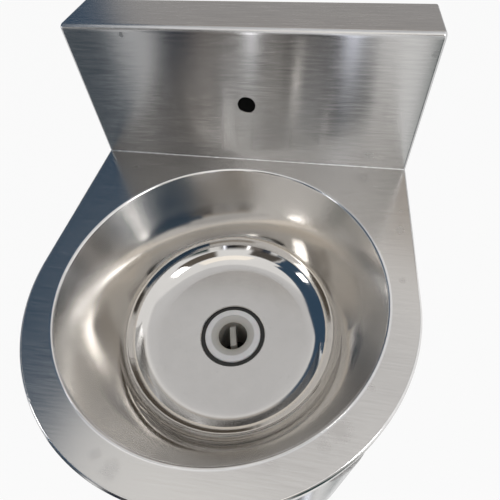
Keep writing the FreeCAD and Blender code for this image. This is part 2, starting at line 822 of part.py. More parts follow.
def make_valve_body():
    """Barrel with a threaded nose, a chamber for the plunger and two ports that point outward and down."""
    end = shoulder_y + barrel_length
    profile = [
        (0, end), (barrel_radius - barrel_edge, end), (barrel_radius, end - barrel_edge),
        (barrel_radius, shoulder_y), (nose_radius, shoulder_y), (nose_radius, nose_front_y + nose_edge),
        (nose_radius - nose_edge, nose_front_y), (0, nose_front_y),
    ]
    barrel = turned_y(profile, 0, striker_z)
    centre = vec(0, port_y, striker_z)
    tilt = math.radians(port_tilt)
    ways = [vec(side * math.cos(tilt), 0, -math.sin(tilt)) for side in (-1, 1)]
    body = joined([barrel] + [rod(port_boss_radius, centre, centre + way * port_reach) for way in ways])
    for way in ways:
        socket_end = centre + way * (port_reach - port_socket_depth)
        body = body.cut(rod(port_socket_radius, socket_end, centre + way * (port_reach + 1)))
    stem_end = spigot_end_y + stem_tail
    body = body.cut(rod_y(gland_spigot_radius, 0, striker_z, nose_front_y - 1, spigot_end_y))
    chamber_end = stem_end + valve_stroke + chamber_end_gap
    return body.cut(rod_y(collar_radius + collar_gap, 0, striker_z, spigot_end_y, chamber_end))


def make_valve_locknut():
    front = cradle_front_y - locknut_height
    return nut(locknut_flats, nose_radius, vec(0, front, striker_z), vec(0, cradle_front_y, striker_z))


def make_gland():
    """Hexagonal gland screwed into the valve's nose; the stem runs through it."""
    head = hexagon(gland_flats, vec(0, gland_front_y, striker_z), vec(0, nose_front_y, striker_z))
    gland = joined([head, rod_y(gland_spigot_radius, 0, striker_z, nose_front_y, spigot_end_y)])
    return gland.cut(rod_y(stem_radius + pivot_running_gap, 0, striker_z, gland_front_y - 1, spigot_end_y + 1))


def make_plunger():
    """Push cap, stem and the collar that stops it against the gland, turned in one piece."""
    cap_back = cap_front_y + cap_thickness
    collar = spigot_end_y + collar_gap
    end = spigot_end_y + stem_tail
    profile = [
        (0, cap_front_y), (cap_radius - cap_front_edge, cap_front_y),
        (cap_radius, cap_front_y + cap_front_edge), (cap_radius, cap_back - cap_back_edge),
        (cap_radius - cap_back_edge, cap_back), (stem_radius, cap_back), (stem_radius, collar),
        (collar_radius, collar), (collar_radius, collar + collar_length),
        (stem_radius, collar + collar_length), (stem_radius, end), (0, end),
    ]
    return turned_y(profile, 0, striker_z)


def main():
    os.makedirs("parts", exist_ok=True)
    gusset = make_gusset()
    bracket = make_hinge_bracket()
    bush = make_pivot_bush()
    bolt = make_pivot_bolt()
    pieces = {
        "deck": make_deck(),
        "bowl": make_bowl(),
        "splashback": make_splashback(),
        "wall_plate": make_wall_plate(),
        "gusset_right": gusset,
        "gusset_left": mirrored(gusset),
        "waste_body": make_waste_body(),
        "waste_cross_bar": make_cross_bar(),
        "waste_seal": make_waste_seal(),
        "waste_washer": make_waste_washer(),
        "waste_backnut": make_backnut(),
        "knee_panel": make_knee_panel(),
        "striker_channel": make_striker_channel(),
        "striker_bolt": make_striker_bolt(),
        "striker_locknut": make_striker_locknut(),
        "striker_bumper": make_bumper(),
        "hinge_bracket_right": bracket,
        "hinge_bracket_left": mirrored(bracket),
        "hinge_studs": make_hinge_studs(),
        "hinge_nuts": make_hinge_nuts(),
        "pivot_bush_right": bush,
        "pivot_bush_left": mirrored(bush),
        "pivot_bolt_right": bolt,
        "pivot_bolt_left": mirrored(bolt),
        "pivot_nuts": make_pivot_nuts(),
        "valve_cradle": make_valve_cradle(),
        "cradle_studs": make_cradle_studs(),
        "cradle_nuts": make_cradle_nuts(),
        "valve_body": make_valve_body(),
        "valve_locknut": make_valve_locknut(),
        "valve_gland": make_gland(),
        "valve_plunger": make_plunger(),
    }
    for name, shape in pieces.items():
        write(name, shape)
    print("panel front y", round(panel_front_y, 2), "wing back y", round(wing_back_y, 2))
    print("pivot y", round(pivot_y, 2), "z", pivot_z, "lever", round(pivot_z - striker_z, 2))
    print("cap front y", round(cap_front_y, 2), "shoulder y", round(shoulder_y, 2), "port y", round(port_y, 2))


main()
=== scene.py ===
import math
import bmesh
import bpy
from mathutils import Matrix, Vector


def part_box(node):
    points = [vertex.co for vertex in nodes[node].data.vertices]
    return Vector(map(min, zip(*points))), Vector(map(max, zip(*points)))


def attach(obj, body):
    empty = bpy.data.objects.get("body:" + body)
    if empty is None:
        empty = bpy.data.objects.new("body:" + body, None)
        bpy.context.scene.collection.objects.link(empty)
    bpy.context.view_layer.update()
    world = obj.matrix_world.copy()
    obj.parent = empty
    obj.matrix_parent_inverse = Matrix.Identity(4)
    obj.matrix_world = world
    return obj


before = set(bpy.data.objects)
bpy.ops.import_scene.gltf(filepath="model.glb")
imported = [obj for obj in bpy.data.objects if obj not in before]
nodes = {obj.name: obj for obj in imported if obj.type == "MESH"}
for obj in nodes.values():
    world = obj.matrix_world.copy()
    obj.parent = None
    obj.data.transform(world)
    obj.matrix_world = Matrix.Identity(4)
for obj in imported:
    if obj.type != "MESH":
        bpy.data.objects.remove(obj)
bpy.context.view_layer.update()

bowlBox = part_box("bowl")
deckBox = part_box("deck")
bowlY = (bowlBox[0].y + bowlBox[1].y) / 2  # the bowl's axis
print("frame loaded:", len(nodes), "nodes")

view = {
    "place": (0.0865, -0.4706, 0.3480),  # metres, in the sink's frame
    "turn": (39.634, 2.560, 8.680),  # degrees
    "lens": 28.606,
    "sensor": 36.0,
    "shift": (-0.0149, -0.0402),
    "nearest": 0.01,
}


def addToScene(name, data):
    made = bpy.data.objects.new(name, data)
    bpy.context.scene.collection.objects.link(made)
    return made


def makeCamera():
    data = bpy.data.cameras.new("viewCamera")
    data.lens = view["lens"]
    data.sensor_width = view["sensor"]
    data.shift_x, data.shift_y = view["shift"]
    data.clip_start = view["nearest"]
    camera = addToScene("viewCamera", data)
    camera.location = view["place"]
    camera.rotation_euler = [math.radians(a) for a in view["turn"]]
    bpy.context.scene.camera = camera


makeCamera()
bpy.context.scene.view_settings.view_transform = "Standard"
print("camera set")


def makeShape(name, points, faces, material, solid=False):
    # a solid shape gets its open ends closed and its faces turned outward
    mesh = bpy.data.meshes.new(name)
    mesh.from_pydata(points, [], faces)
    mesh.materials.append(material)
    if solid:
        shaped = bmesh.new()
        shaped.from_mesh(mesh)
        ends = [edge for edge in shaped.edges if edge.is_boundary]
        if ends:
            bmesh.ops.holes_fill(shaped, edges=ends, sides=0)
        bmesh.ops.recalc_face_normals(shaped, faces=shaped.faces)
        shaped.to_mesh(mesh)
        shaped.free()
    return addToScene(name, mesh)


class Wire:
    # an output socket of a node tree; arithmetic on it adds Math nodes
    def __init__(self, tree, socket):
        self.tree = tree
        self.socket = socket

    def node(self, kind, settings=None, inputs=None, output=0):
        made = self.tree.nodes.new(kind)
        for name, value in (settings or {}).items():
            if name == "stops":
                setStops(made.color_ramp, value)
            else:
                setattr(made, name, value)
        for key, value in (inputs or {}).items():
            if isinstance(value, Wire):
                self.tree.links.new(value.socket, made.inputs[key])
            else:
                made.inputs[key].default_value = value
        return Wire(self.tree, made.outputs[output])

    def maths(self, operation, *values):
        return self.node("ShaderNodeMath", {"operation": operation}, dict(enumerate(values)))

    def __add__(self, other):
        return self.maths("ADD", self, other)

    def __sub__(self, other):
        return self.maths("SUBTRACT", self, other)

    def __rsub__(self, other):
        return self.maths("SUBTRACT", other, self)

    def __mul__(self, other):
        return self.maths("MULTIPLY", self, other)

    def __truediv__(self, other):
        return self.maths("DIVIDE", self, other)

    def __rtruediv__(self, other):
        return self.maths("DIVIDE", other, self)

    __radd__ = __add__
    __rmul__ = __mul__

    def size(self):
        return self.maths("ABSOLUTE", self)

    def ramp(self, low, high, first=0.0, last=1.0):
        # smooth step from first to last while the value goes from low to high
        settings = {"interpolation_type": "SMOOTHSTEP"}
        inputs = {0: self, 1: low, 2: high, 3: first, 4: last}
        return self.node("ShaderNodeMapRange", settings, inputs)

    def band(self, middle, reach, soft):
        # 1 within reach of the middle, fading to 0 over soft
        return (self - middle).size().ramp(reach, reach + soft, 1.0, 0.0)

    def tint(self, low, high):
        # colour between low and high by this factor
        return self.node("ShaderNodeMix", {"data_type": "RGBA"}, {0: self, 6: low, 7: high}, 2)

    def stretched(self, scale):
        return self.node("ShaderNodeVectorMath", {"operation": "MULTIPLY"}, {0: self, 1: scale})

    def distance(self, point):
        return self.node("ShaderNodeVectorMath", {"operation": "DISTANCE"}, {0: self, 1: point}, 1)

    def fromAxis(self):
        # how far a place is from the bowl's axis
        return self.stretched((1, 1, 0)).distance((0, bowlY, 0))

    def noise(self, scale, detail=2.0, rough=0.5):
        inputs = {"Vector": self, "Scale": scale, "Detail": detail, "Roughness": rough}
        return self.node("ShaderNodeTexNoise", {}, inputs)

    def axis(self, index):
        return self.node("ShaderNodeSeparateXYZ", {}, {0: self}, index)


def setStops(ramp, stops):
    while len(ramp.elements) < len(stops):
        ramp.elements.new(1.0)
    for element, (place, colour) in zip(ramp.elements, stops):
        element.position = place
        element.color = colour


def grey(value):
    return (value, value, value, 1.0)


def startMaterial(name, fixed):
    # new material; fixed gives the shader's own constants
    material = bpy.data.materials.new(name)
    material.use_nodes = True
    tree = material.node_tree
    shader = tree.nodes["Principled BSDF"]
    for socket, value in fixed.items():
        shader.inputs[socket].default_value = value
    place = Wire(tree, shader.outputs[0]).node("ShaderNodeTexCoord", {}, {}, "Object")
    return material, shader, place


def startCloth(name):
    # new material of the stage, which doesn't use the usual shader
    material, shader, place = startMaterial(name, {})
    material.node_tree.nodes.remove(shader)
    return material, place


def facingOf(place):
    return place.node("ShaderNodeTexCoord", {}, {}, "Normal")


def feed(shader, socket, wire):
    wire.tree.links.new(wire.socket, shader.inputs[socket])


def bumpOf(height, strength, depth):
    inputs = {"Strength": strength, "Distance": depth, "Height": height}
    return height.node("ShaderNodeBump", {}, inputs)


def showMix(factor, first, second):
    # the material shows first where factor is 0 and second where it is 1
    mixed = factor.node("ShaderNodeMixShader", {}, {0: factor, 1: first, 2: second})
    feed(factor.tree.nodes["Material Output"], "Surface", mixed)


grain = {
    "along": 26.0,  # waves per metre along the grain
    "across": 560.0,  # and across it
    "detail": 4.0,
    "ragged": 0.7,
    "coarseAlong": 4.0,
    "coarseAcross": 260.0,
    "coarseDetail": 3.0,
    "coarseShare": 0.1,
    "sideways": (0.6, 0.8),  # how far a sheet faces sideways where its grain turns along Y
    "shade": 0.95,
    "roughSpread": 0.20,
    "depth": 0.00003,
}
cloudy = {"scale": 7.0, "detail": 3.0, "rough": 0.06}
smudge = {
    "scale": 160.0, "detail": 3.0, "ragged": 0.7, "spread": 0.012,
    "core": 0.3, "edge": 1.2,  # shares of the mark's radius
    "dark": 0.35, "dull": 0.10,
}
buffedSheen = {"soft": 0.0015, "rough": 0.16, "colour": (0.78, 0.77, 0.76, 1.0)}
stretched = {"turn": 0.25, "upright": (0.75, 0.9)}  # a quarter turn smears up and down


def grainLines(place, facing):
    # fine lines along X, and along Y where the sheet faces sideways
    along, across = grain["along"], grain["across"]
    sideways = facing.axis(0).size().ramp(*grain["sideways"])
    linesX = place.stretched((along, across, across)).noise(1.0, grain["detail"], grain["ragged"])
    linesY = place.stretched((across, along, across)).noise(1.0, grain["detail"], grain["ragged"])
    along, across = grain["coarseAlong"], grain["coarseAcross"]
    coarse = place.stretched((along, across, across)).noise(1.0, grain["coarseDetail"])
    fine = sideways * linesY + (1 - sideways) * linesX
    return fine * (1 - grain["coarseShare"]) + coarse * grain["coarseShare"]


def smudges(place, marks):
    # faint dirty marks at given places: x, y, z, radius, strength
    total = 0.0
    noise = place.noise(smudge["scale"], smudge["detail"], smudge["ragged"])
    ragged = (noise - 0.5) * smudge["spread"]
    for x, y, z, radius, strength in marks:
        away = place.distance((x, y, z)) + ragged
        mark = away.ramp(radius * smudge["core"], radius * smudge["edge"], strength, 0.0)
        total = away.maths("MAXIMUM", total, mark)
    return total


def brushedSheet(name, look):
    material, shader, place = startMaterial(name, {"Metallic": 1.0})
    facing = facingOf(place)
    lines = grainLines(place, facing)
    cloud = place.noise(cloudy["scale"], cloudy["detail"]) - 0.5
    tone = (lines - 0.5) * grain["shade"] * look["lines"] + cloud * look["cloud"] + 0.5
    wear = (lines - 0.5) * grain["roughSpread"] + cloud * cloudy["rough"]
    if "marks" in look:
        smear = smudges(place, look["marks"])
        tone = tone - smear * smudge["dark"]
        wear = wear + smear * smudge["dull"]
    colour = tone.tint(look["dark"], look["light"])
    rough = wear + look["rough"]
    if "rim" in look:
        # the rounded lip over the bowl is buffed, and its colour is lightened as a painted sheen
        lip = place.fromAxis().ramp(look["rim"], look["rim"] + buffedSheen["soft"], 1.0, 0.0)
        rough = rough * (1 - lip) + lip * buffedSheen["rough"]
        lines = lines * (1 - lip)
        colour = lip.tint(colour, buffedSheen["colour"])
    bumped = bumpOf(lines, look["bump"], grain["depth"])
    feed(shader, "Base Color", colour)
    feed(shader, "Roughness", rough)
    feed(shader, "Normal", bumped)
    if "stretch" in look:
        # upright faces smear their reflections up and down, across the grain
        front = facing.node("ShaderNodeBsdfPrincipled", {}, {
            "Metallic": 1.0, "Anisotropic": look["stretch"],
            "Anisotropic Rotation": stretched["turn"],
            "Base Color": colour, "Roughness": wear + look["frontRough"], "Normal": bumped,
        })
        upright = facing.axis(1).size().ramp(*stretched["upright"])
        showMix(upright, Wire(place.tree, shader.outputs[0]), front)
    return material


splashLook = {
    "dark": (0.42, 0.42, 0.425, 1.0), "light": (0.74, 0.735, 0.73, 1.0),
    "rough": 0.25, "frontRough": 0.22, "stretch": 1.0,
    "lines": 1.15, "cloud": 0.10, "bump": 0.12,
    "marks": [
        (-0.132, -0.068, 0.162, 0.0022, 1.6), (0.150, -0.068, 0.020, 0.010, 0.4),
        (-0.120, -0.068, 0.030, 0.014, 0.25), (0.060, -0.068, 0.100, 0.010, 0.2),
        (0.194, -0.068, 0.150, 0.004, 0.8),
    ],
}
deckLook = {
    "dark": (0.48, 0.46, 0.44, 1.0), "light": (0.76, 0.74, 0.71, 1.0),
    "rough": 0.23, "lines": 0.6, "cloud": 0.22, "bump": 0.1,
    # the lip's lighter colour there is a painted sheen
    "rim": 0.1712,  # the buffed lip reaches this far from the bowl's axis
    "marks": [
        (0.124, -0.385, 0, 0.011, 0.8), (0.112, -0.398, 0, 0.007, 0.5),
        (0.093, -0.389, 0, 0.007, 0.35), (0.072, -0.414, 0, 0.009, 0.4),
        (-0.049, -0.438, 0, 0.009, 0.35), (-0.065, -0.430, 0, 0.006, 0.3),
        (0.186, -0.170, 0, 0.005, 0.7), (0.183, -0.236, 0, 0.004, 0.5),
        (0.150, -0.348, 0, 0.004, 0.5), (0.190, -0.140, 0, 0.003, 0.5),
        (-0.150, -0.100, 0, 0.012, 0.3),
    ],
}
frameLook = {
    "dark": (0.36, 0.36, 0.36, 1.0), "light": (0.74, 0.74, 0.73, 1.0),
    "rough": 0.38, "lines": 0.7, "cloud": 0.3, "bump": 0.15,
}

bowlLook = {
    "dark": (0.50, 0.485, 0.465, 1.0), "light": (0.745, 0.725, 0.70, 1.0),
    "tone": 0.58,
    "wall": {"level": -0.050, "soft": 0.012, "rough": 0.20},
    "ragged": {"scale": 26.0, "detail": 3.0, "spread": 0.012},  # the wall's lower border
    "bendRough": 0.07,
    "floor": {"from": 0.088, "to": 0.112, "rough": 0.20, "shade": 0.22},
    "lip": {"from": -0.0045, "to": -0.002, "rough": 0.16, "shade": 0.3},
    "rings": {"scale": 1400.0, "rise": 900.0, "detail": 3.0, "rough": 0.03, "shade": 0.06},
    "cloud": {"scale": 11.0, "detail": 3.0, "rough": 0.07, "shade": 0.30},
    "tonePatch": {"scale": 38.0, "detail": 4.0, "ragged": 0.6, "shade": 0.25},
    "specks": {"scale": 420.0, "from": 0.70, "to": 0.76, "shade": 0.5},
    "bump": {"rings": 0.6, "scale": 60.0, "strength": 0.08, "depth": 0.00005},
}


def polishedBowl():
    # turned polish: satin upper wall, bright bend, satin floor with faint rings
    material, shader, place = startMaterial("polishedBowl", {"Metallic": 1.0})
    radius, height = place.fromAxis(), place.axis(2)
    wall, border, floorPart = bowlLook["wall"], bowlLook["ragged"], bowlLook["floor"]
    ragged = (place.noise(border["scale"], border["detail"]) - 0.5) * border["spread"]
    upper = (height + ragged).ramp(wall["level"] - wall["soft"], wall["level"] + wall["soft"])
    floor = radius.ramp(floorPart["from"], floorPart["to"], 1.0, 0.0)
    turned = bowlLook["rings"]
    waves = {0: radius * turned["scale"], 2: height * turned["rise"]}
    rings = radius.node("ShaderNodeCombineXYZ", {}, waves).noise(1.0, turned["detail"])
    patches = bowlLook["cloud"]
    cloud = place.noise(patches["scale"], patches["detail"]) - 0.5
    # the band under the lip is glossier, and its colour is lightened as a painted sheen
    edge = bowlLook["lip"]
    lip = height.ramp(edge["from"], edge["to"])
    rough = upper * wall["rough"] + floor * floorPart["rough"]
    rough = rough + (1 - upper) * (1 - floor) * bowlLook["bendRough"]
    rough = rough + cloud * patches["rough"] + (rings - 0.5) * turned["rough"]
    feed(shader, "Roughness", rough * (1 - lip) + lip * edge["rough"])
    water, dots = bowlLook["tonePatch"], bowlLook["specks"]
    tonePatch = place.noise(water["scale"], water["detail"], water["ragged"]) - 0.5
    specks = place.noise(dots["scale"]).ramp(dots["from"], dots["to"])
    tone = cloud * patches["shade"] - specks * floor * dots["shade"]
    tone = tone + (rings - 0.5) * turned["shade"] + tonePatch * water["shade"] + bowlLook["tone"]
    tone = tone - floor * floorPart["shade"] + lip * edge["shade"]
    feed(shader, "Base Color", tone.tint(bowlLook["dark"], bowlLook["light"]))
    bump = bowlLook["bump"]
    relief = rings * bump["rings"] + place.noise(bump["scale"])
    feed(shader, "Normal", bumpOf(relief, bump["strength"], bump["depth"]))
    return material


mottle = {"scale": 140.0, "detail": 3.0, "bump": 0.15, "depth": 0.0001}
moulding = {
    "ior": 1.5, "glowDepth": 0.002,
    "cloudScale": 90.0, "cloudDetail": 3.0, "cloudRough": 0.12,
    "speckScale": 1600.0, "speckRough": 0.05, "bump": 0.12, "depth": 0.00005,
}
rubberLook = {
    "dark": (0.012, 0.012, 0.012, 1.0), "light": (0.045, 0.045, 0.043, 1.0),
    "ior": 1.45, "scale": 220.0, "detail": 4.0, "rough": 0.55, "spread": 0.2,
    "bump": 0.2, "depth": 0.0001,
}


def plainMetal(name, look):
    # plated or bare metal with slight mottling
    material, shader, place = startMaterial(name, {"Metallic": 1.0})
    cloud = place.noise(mottle["scale"], mottle["detail"])
    feed(shader, "Base Color", cloud.tint(look["dark"], look["light"]))
    feed(shader, "Roughness", cloud * look["spread"] + look["rough"])
    feed(shader, "Normal", bumpOf(cloud, mottle["bump"], mottle["depth"]))
    return material


def mouldedPlastic(name, look):
    material, shader, place = startMaterial(name, {
        "Metallic": 0.0, "IOR": moulding["ior"],
        "Subsurface Weight": look["glow"], "Subsurface Scale": moulding["glowDepth"],
    })
    cloud = place.noise(moulding["cloudScale"], moulding["cloudDetail"])
    speck = place.noise(moulding["speckScale"])
    colour = cloud.tint(look["dark"], look["light"])
    if "dish" in look:
        # painted shade, darkest round the bore: the dish darkens towards the bore and down its
        # wall
        dish, radius = look["dish"], place.fromAxis()
        tonePatch = radius.ramp(dish["bore"], dish["radius"], 1.0, dish["thin"])
        tonePatch = tonePatch * radius.ramp(dish["radius"], dish["radius"] + dish["soft"], 1.0, 0.0)
        colour = tonePatch.tint(colour, dish["colour"])
    rough = cloud * moulding["cloudRough"] + speck * moulding["speckRough"] + look["rough"]
    feed(shader, "Base Color", colour)
    feed(shader, "Roughness", rough)
    feed(shader, "Normal", bumpOf(speck, moulding["bump"], moulding["depth"]))
    return material


def blackRubber():
    look = rubberLook
    material, shader, place = startMaterial("blackRubber", {"Metallic": 0.0, "IOR": look["ior"]})
    dust = place.noise(look["scale"], look["detail"])
    feed(shader, "Base Color", dust.tint(look["dark"], look["light"]))
    feed(shader, "Roughness", dust * look["spread"] + look["rough"])
    feed(shader, "Normal", bumpOf(dust, look["bump"], look["depth"]))
    return material


finishes = {
    "splash": brushedSheet("brushedSplash", splashLook),
    "deck": brushedSheet("brushedDeck", deckLook),
    "frame": brushedSheet("plainSheet", frameLook),
    "bowl": polishedBowl(),
    "fastener": plainMetal("fastenerSteel", {
        "dark": grey(0.42), "light": grey(0.66), "spread": 0.12, "rough": 0.22,
    }),
    "chrome": plainMetal("platedBrass", {
        "dark": grey(0.62), "light": grey(0.78), "spread": 0.06, "rough": 0.05,
    }),
    "brass": plainMetal("bareBrass", {
        "dark": (0.50, 0.36, 0.15, 1.0), "light": (0.74, 0.58, 0.30, 1.0),
        "spread": 0.15, "rough": 0.2,
    }),
    "plastic": mouldedPlastic("wastePlastic", {
        "dark": (0.60, 0.60, 0.60, 1.0), "light": (0.74, 0.73, 0.74, 1.0),
        "glow": 0.1, "rough": 0.28,
        # painted shade round the bore and down its wall
        "dish": {
            "colour": (0.27, 0.25, 0.205, 1.0), "bore": 0.012, "radius": 0.0262,
            "soft": 0.003, "thin": 0.55,
        },
    }),
    # the cross bar is the waste's own plastic, coloured darker as painted shade down the bore
    "bar": mouldedPlastic("shadedBarPlastic", {
        "dark": (0.26, 0.25, 0.23, 1.0), "light": (0.38, 0.37, 0.34, 1.0),
        "glow": 0.05, "rough": 0.35,
    }),
    "nylon": mouldedPlastic("bushNylon", {
        "dark": (0.62, 0.61, 0.56, 1.0), "light": (0.80, 0.79, 0.74, 1.0),
        "glow": 0.15, "rough": 0.4,
    }),
    "rubber": blackRubber(),
}

# nodes that aren't named here are fasteners
finishOfNode = {
    "splashback": "splash", "deck": "deck", "bowl": "bowl", "knee_panel": "splash",
    "wall_plate": "frame", "gusset_left": "deck", "gusset_right": "deck",
    "valve_cradle": "frame", "striker_channel": "frame",
    "hinge_bracket_left": "frame", "hinge_bracket_right": "frame",
    "waste_body": "plastic", "waste_backnut": "plastic", "waste_cross_bar": "bar",
    "waste_seal": "rubber", "waste_washer": "rubber", "striker_bumper": "rubber",
    "pivot_bush_left": "nylon", "pivot_bush_right": "nylon",
    "valve_body": "chrome", "valve_gland": "chrome", "valve_plunger": "chrome",
    "valve_locknut": "brass",
}


def dressNodes():
    for name, part in nodes.items():
        finish = finishes[finishOfNode.get(name, "fastener")]
        if not part.material_slots:
            part.data.materials.append(finish)
        for slot in part.material_slots:
            slot.material = finish


dressNodes()
print("materials set on", len(nodes), "nodes")

weld = {
    "halfLength": 0.1975, "y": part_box("splashback")[0].y, "radius": 0.0011,
    "steps": 240, "sides": 6, "ripple": 0.00022, "ripples": 62,
    "drift": 9.3, "start": 1.0,  # radians, how the ripples grow and fade along the bead
    "sunk": 0.0003,  # how far its back lies in the sheets
    "metal": {"dark": grey(0.60), "light": grey(0.85), "spread": 0.1, "rough": 0.16},
}


def makeWeld():
    # a quarter-round bead with slow ripples, between the splashback and the deck
    points, faces = [], []
    steps, sides, sunk = weld["steps"], weld["sides"], weld["sunk"]
    for step in range(steps + 1):
        x = weld["halfLength"] * (2 * step / steps - 1)
        fade = math.sin(weld["drift"] * x / weld["halfLength"] + weld["start"])
        swell = math.sin(weld["ripples"] * math.pi * step / steps) * fade
        radius = weld["radius"] + weld["ripple"] * swell
        for side in range(sides + 1):
            turn = math.pi / 2 * side / sides
            out, up = 1 - math.cos(turn), 1 - math.sin(turn)
            points.append((x, weld["y"] - radius * out, radius * up))
        points.append((x, weld["y"] + sunk, -sunk))
    ring = sides + 2
    for step in range(steps):
        for side in range(ring):
            here, there = step * ring + side, step * ring + (side + 1) % ring
            faces.append((here, there, there + ring, here + ring))
    bead = makeShape("weldBead", points, faces, plainMetal("weldMetal", weld["metal"]), True)
    for polygon in bead.data.polygons:
        polygon.use_smooth = len(polygon.vertices) == 4
    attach(bead, "sink")


makeWeld()
print("weld made")

thread = {
    "radius": 0.0239, "rise": 0.00045, "root": 0.0002, "width": 0.0014, "pitch": 0.0023,
    "steps": 48,  # for each turn
    "low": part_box("waste_body")[0].z + 0.0018, "high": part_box("waste_backnut")[0].z - 0.003,
}


def makeThread():
    # one ridge wound up the waste's tail, running out over a turn at both ends
    points, faces = [], []
    steps, pitch, root = thread["steps"], thread["pitch"], -thread["root"]
    count = int((thread["high"] - thread["low"]) / pitch * steps)
    for step in range(count + 1):
        turn = 2 * math.pi * step / steps
        crest = thread["rise"] * min(1.0, step / steps, (count - step) / steps)
        for reach, rise in ((root, -0.5), (crest, 0.0), (root, 0.5)):
            radius = thread["radius"] + reach
            height = thread["low"] + pitch * step / steps + rise * thread["width"]
            points.append((radius * math.cos(turn), bowlY + radius * math.sin(turn), height))
    for step in range(count):
        for side in range(3):
            here, beside = step * 3 + side, step * 3 + (side + 1) % 3
            faces.append((here, here + 3, beside + 3, beside))
    faces += [(2, 1, 0), (count * 3, count * 3 + 1, count * 3 + 2)]
    ridge = makeShape("tailThread", points, faces, finishes["plastic"], True)
    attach(ridge, "sink")


makeThread()
print("thread made")

# smooth skins over the deck's rounded lip and outer edge; from and to are degrees round them
skins = {
    "lip": {
        "radius": 0.171, "round": 0.003, "lift": 0.00012, "from": 90.0, "to": 160.5,
        "turns": 320, "fades": False,
    },
    "edge": {
        "radius": 0.1975, "round": 0.0025, "lift": 0.000015, "from": 14.0, "to": 88.0,
        "turns": 200, "fades": True,  # the lift goes to nothing at both sides
    },
    "back": deckBox[1].y - 0.0005,
    "sides": 10,
    "depth": 0.0003,
    "metal": {
        "dark": (0.66, 0.65, 0.64, 1.0), "light": (0.80, 0.79, 0.78, 1.0),
        "spread": 0.06, "rough": 0.11,
    },
}


def skinSection(skin):
    # points across the round: outward, up
    section = []
    for side in range(skins["sides"] + 1):
        turn = math.radians(skin["from"] + (skin["to"] - skin["from"]) * side / skins["sides"])
        reach = skin["round"] + skin["lift"] * (math.sin(2 * turn) if skin["fades"] else 1.0)
        section.append((reach * math.cos(turn), reach * math.sin(turn) - skin["round"]))
    shrink = 1 - skins["depth"] / skin["round"]
    for side in (skins["sides"], 0):
        out, up = section[side]
        section.append((out * shrink, (up + skin["round"]) * shrink - skin["round"]))
    return section


def sweepSkin(name, route, section, closed):
    # route holds place and outward direction; the section is carried along it
    points, faces = [], []
    for place, outward in route:
        for out, up in section:
            points.append((place[0] + outward[0] * out, place[1] + outward[1] * out, up))
    ring, count = len(section), len(route)
    for step in range(count if closed else count - 1):
        for side in range(ring):
            here, there = step * ring, (step + 1) % count * ring
            beside = (side + 1) % ring
            faces.append((here + side, there + side, there + beside, here + beside))
    if not closed:
        faces.append(tuple(range(ring)))
        faces.append(tuple(range((count - 1) * ring, count * ring)))
    skin = makeShape(name, points, faces, skinMetal, True)
    for polygon in skin.data.polygons:
        outer = polygon.index % ring < skins["sides"]
        polygon.use_smooth = outer and len(polygon.vertices) == 4
    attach(skin, "sink")


def roundBowl(skin, first, last, count):
    # places and outward directions on an arc about the bowl's axis, in half turns
    route = []
    for step in range(count):
        turn = math.pi * (first + (last - first) * step / skin["turns"])
        outward = (math.cos(turn), math.sin(turn))
        centre = (outward[0] * skin["radius"], bowlY + outward[1] * skin["radius"])
        route.append((centre, outward))
    return route


def makeSkins():
    lip, edge, back = skins["lip"], skins["edge"], skins["back"]
    sweepSkin("lipSkin", roundBowl(lip, 0, 2, lip["turns"]), skinSection(lip), True)
    route = [((-edge["radius"], back), (-1.0, 0.0))]
    route += roundBowl(edge, 1, 2, edge["turns"] + 1)
    route.append(((edge["radius"], back), (1.0, 0.0)))
    sweepSkin("edgeSkin", route, skinSection(edge), False)


# the skins' metal is lighter than the deck's: a painted sheen on the buffed rounds
skinMetal = plainMetal("buffedLipSheen", skins["metal"])
makeSkins()
print("lip and edge skins made")

# soft cards round the sink that only the steel sees, in degrees;
# azimuth 0 is towards the viewer and grows to the right
tentCards = [
    {
        "azimuth": 180, "reach": 60, "soft": 20, "low": 58, "high": 90, "fade": 8,
        "colour": (0.76, 0.76, 0.77),
    },
    {
        "azimuth": 180, "reach": 34, "soft": 12, "low": 24, "high": 44, "fade": 12,
        "colour": (0.46, 0.42, 0.38),
    },
    {
        "azimuth": 180, "reach": 34, "soft": 14, "low": -5, "high": 22, "fade": 10,
        "colour": (0.40, 0.39, 0.385),
    },
    {
        "azimuth": -99, "reach": 50, "soft": 4, "low": 8, "high": 50, "fade": 3,
        "colour": (0.045, 0.085, 0.14),
    },
    {
        "azimuth": -94, "reach": 35, "soft": 6, "low": 40, "high": 59, "fade": 2,
        "colour": (0.045, 0.085, 0.14),
    },
    {
        "azimuth": -31, "reach": 12, "soft": 7, "low": 28, "high": 50, "fade": 5,
        "colour": (0.10, 0.09, 0.08),
    },
    {
        "azimuth": 42, "reach": 18, "soft": 8, "low": 36, "high": 54, "fade": 3,
        "colour": (0.14, 0.12, 0.10),
    },
    {
        "azimuth": 8, "reach": 34, "soft": 8, "low": 59, "high": 72, "fade": 3,
        "colour": (1.35, 1.28, 1.18),
    },
]
tent = {"centre": (0, -0.258, 0), "radius": 3.0, "columns": 72, "rows": 24, "top": 88}


def cardOver(colour, cover):
    # a glowing card where cover is 1, clear air where it is 0
    glow = cover.node("ShaderNodeEmission", {}, {"Color": colour, "Strength": 1.0})
    showMix(cover, cover.node("ShaderNodeBsdfTransparent"), glow)


def showToSteelOnly(card):
    # part of the stage that only reflections show
    card.visible_camera = False
    card.visible_diffuse = False
    card.visible_transmission = False
    card.visible_shadow = False


